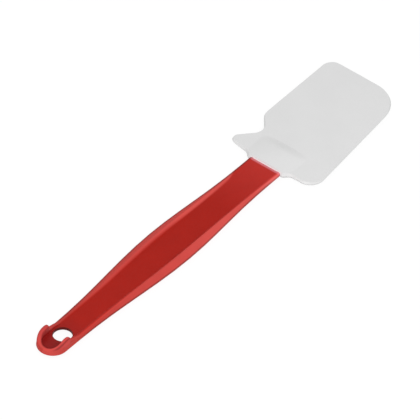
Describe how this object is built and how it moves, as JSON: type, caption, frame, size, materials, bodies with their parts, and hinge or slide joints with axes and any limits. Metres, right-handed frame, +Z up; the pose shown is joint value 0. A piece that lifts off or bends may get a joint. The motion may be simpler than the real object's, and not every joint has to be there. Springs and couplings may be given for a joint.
{
  "type": "scraper spatula",
  "caption": "Flat scraper spatula: a swelling nylon handle with a hanging hole and hook lip, and a crowned silicone blade with one notched edge moulded over its tang.",
  "frame": {"origin": "centre of the hanging hole, at mid thickness of the handle's web", "axes": "+X along the tool, from the hanging hole to the blade's tip; +Z up, on the side the hook lip stands on; +Y towards the notched edge"},
  "size_m": [0.3422, 0.0736, 0.0119],
  "materials": {
    "red_nylon": "satin moulded nylon, slightly brighter on the rims",
    "white_silicone": "smooth matt silicone"
  },
  "bodies": {
    "root": {"handle": "red_nylon", "blade": "white_silicone"}
  },
  "joints": []
}
